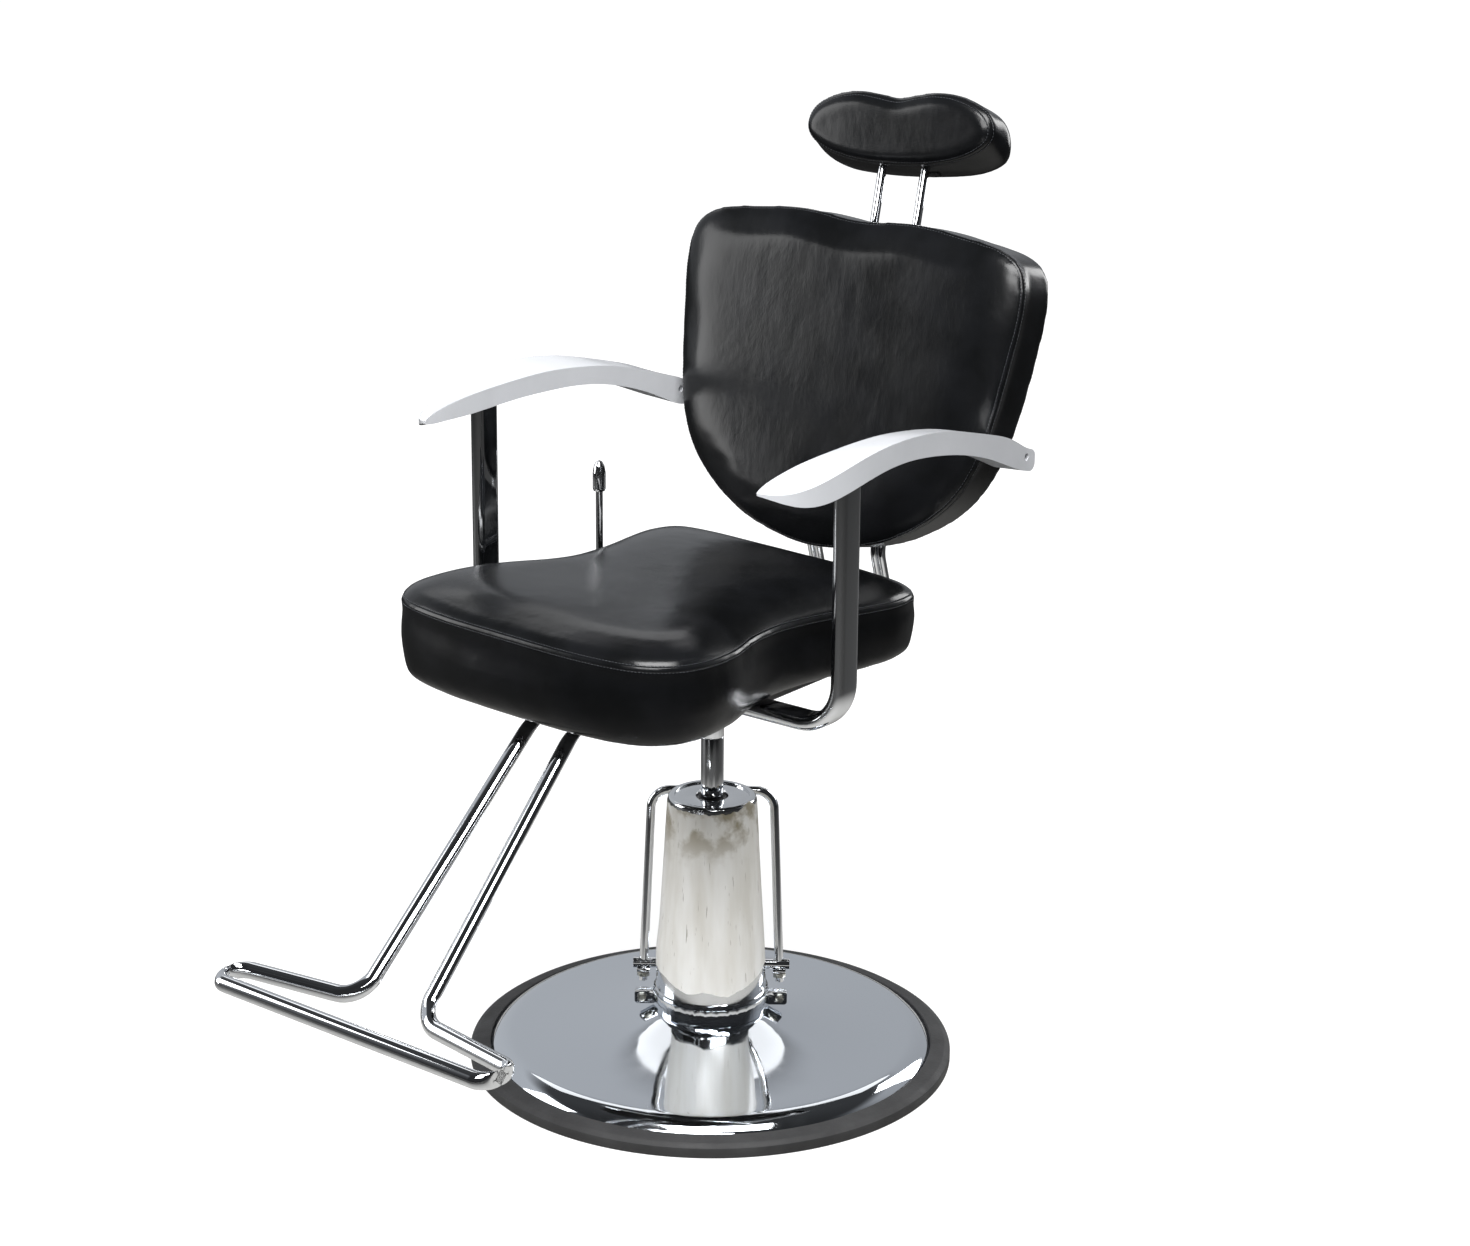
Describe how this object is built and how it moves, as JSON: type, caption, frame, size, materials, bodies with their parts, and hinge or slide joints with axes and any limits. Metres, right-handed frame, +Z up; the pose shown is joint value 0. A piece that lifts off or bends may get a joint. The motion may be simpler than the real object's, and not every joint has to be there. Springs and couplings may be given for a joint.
{
  "type": "hydraulic barber chair",
  "caption": "Barber chair on a round hydraulic pump base: padded seat, reclining shield back, sliding headrest, two wave armrests, pump pedal, recline lever and swept tube footrest",
  "frame": {"origin": "centre of the round base on the floor", "axes": "+Z is up along the swivel axis; the sitter faces -Y; X runs across the seat between the armrests, the sitter's left at +X"},
  "size_m": [0.6024, 1.06, 1.1638],
  "materials": {
    "ring_rubber": "matte, lightly scuffed",
    "base_chrome": "polished plate",
    "sleeve_chrome": "polished plate under a milky protective film",
    "frame_steel": "satin black paint",
    "pump_iron": "machined and oiled",
    "pump_steel": "ground",
    "fastener_steel": "zinc plated",
    "seal_rubber": "smooth",
    "bar_chrome": "polished plate",
    "seat_plywood": "raw plywood",
    "upholstery": "fine-grained black leatherette, satin",
    "panel_plastic": "textured black",
    "arm_pad_plastic": "satin silver-grey"
  },
  "bodies": {
    "base": {"base_rubber_ring": "ring_rubber", "base_dome": "base_chrome", "base_spider": "frame_steel", "pump_body": "pump_iron", "pump_bolts": "fastener_steel", "pump_jacket": "pump_steel", "pump_barrel": "pump_steel", "pump_head": "pump_iron", "rod_seal": "seal_rubber", "pump_sleeve": "sleeve_chrome", "sleeve_cap": "base_chrome", "clamp_half_front": "base_chrome", "clamp_half_rear": "base_chrome", "clamp_bolts": "fastener_steel"},
    "piston": {"piston": "pump_steel", "piston_seals": "seal_rubber", "thrust_washer": "pump_steel"},
    "seat": {"ram": "pump_steel", "seat_plate": "frame_steel", "seat_bolts": "fastener_steel", "seat_board": "seat_plywood", "seat_cushion": "upholstery", "arm_tube_left": "bar_chrome", "arm_tube_right": "bar_chrome", "arm_bolts": "fastener_steel", "arm_pad_left": "arm_pad_plastic", "arm_pad_right": "arm_pad_plastic", "footrest_tube": "bar_chrome", "footrest_clamp": "bar_chrome", "hinge_bracket_left": "frame_steel", "hinge_bracket_right": "frame_steel", "lock_body": "frame_steel", "lever_bearing": "frame_steel"},
    "pedal": {"pedal_bar": "bar_chrome", "pedal_shaft": "bar_chrome", "pedal_saddles": "fastener_steel", "pedal_nuts": "fastener_steel", "pedal_cam": "pump_steel"},
    "plunger": {"pump_plunger": "pump_steel", "plunger_spring": "pump_steel"},
    "back": {"hinge_shaft": "pump_steel", "back_bow_left": "bar_chrome", "back_bow_right": "bar_chrome", "bow_plates": "frame_steel", "bow_straps": "bar_chrome", "back_cushion": "upholstery", "back_board": "seat_plywood", "back_panel": "panel_plastic", "recline_crank": "frame_steel", "headrest_block_lower": "panel_plastic", "headrest_block_upper": "panel_plastic"},
    "lock": {"lock_rod": "pump_steel"},
    "lever": {"recline_lever": "bar_chrome", "lever_knob": "bar_chrome"},
    "headrest": {"headrest_rods": "bar_chrome", "headrest_board": "seat_plywood", "headrest_cushion": "upholstery"}
  },
  "joints": [
    {"name": "seat_lift", "type": "slide", "parent": "base", "child": "piston", "axis": [0, 0, 1], "range_m": [-0.09, 0.06]},
    {"name": "seat_swivel", "type": "hinge", "parent": "piston", "child": "seat", "pos_m": [0, 0, 0.235], "axis": [0, 0, 1], "continuous": true},
    {"name": "pedal_swing", "type": "hinge", "parent": "base", "child": "pedal", "pos_m": [-0.02192, 0.02856, 0.102], "axis": [-0.7934, -0.6088, 0], "range_deg": [0, 95], "stiffness_Nm_per_rad": 1.2, "springref_deg": -17.19},
    {"name": "plunger_slide", "type": "slide", "parent": "base", "child": "plunger", "axis": [0, 0, -1], "range_m": [0, 0.008], "deforming": ["plunger_spring"]},
    {"name": "back_recline", "type": "hinge", "parent": "seat", "child": "back", "pos_m": [0, 0.15, 0.505], "axis": [-1, 0, 0], "range_deg": [0, 45]},
    {"name": "lock_slide", "type": "slide", "parent": "seat", "child": "lock", "axis": [0, -1, 0], "range_m": [0, 0.0348]},
    {"name": "lever_pull", "type": "hinge", "parent": "seat", "child": "lever", "pos_m": [0, 0.06, 0.514], "axis": [-1, 0, 0], "range_deg": [0, 18], "stiffness_Nm_per_rad": 2, "springref_deg": -14.32},
    {"name": "headrest_slide", "type": "slide", "parent": "back", "child": "headrest", "axis": [0, 0.2267, 0.974], "range_m": [-0.045, 0.06]}
  ],
  "couplings": [
    {"joint": "plunger_slide", "follows": "pedal_swing", "m_per_rad": 0.004825},
    {"joint": "lock_slide", "follows": "back_recline", "m_per_rad": 0.0443}
  ]
}
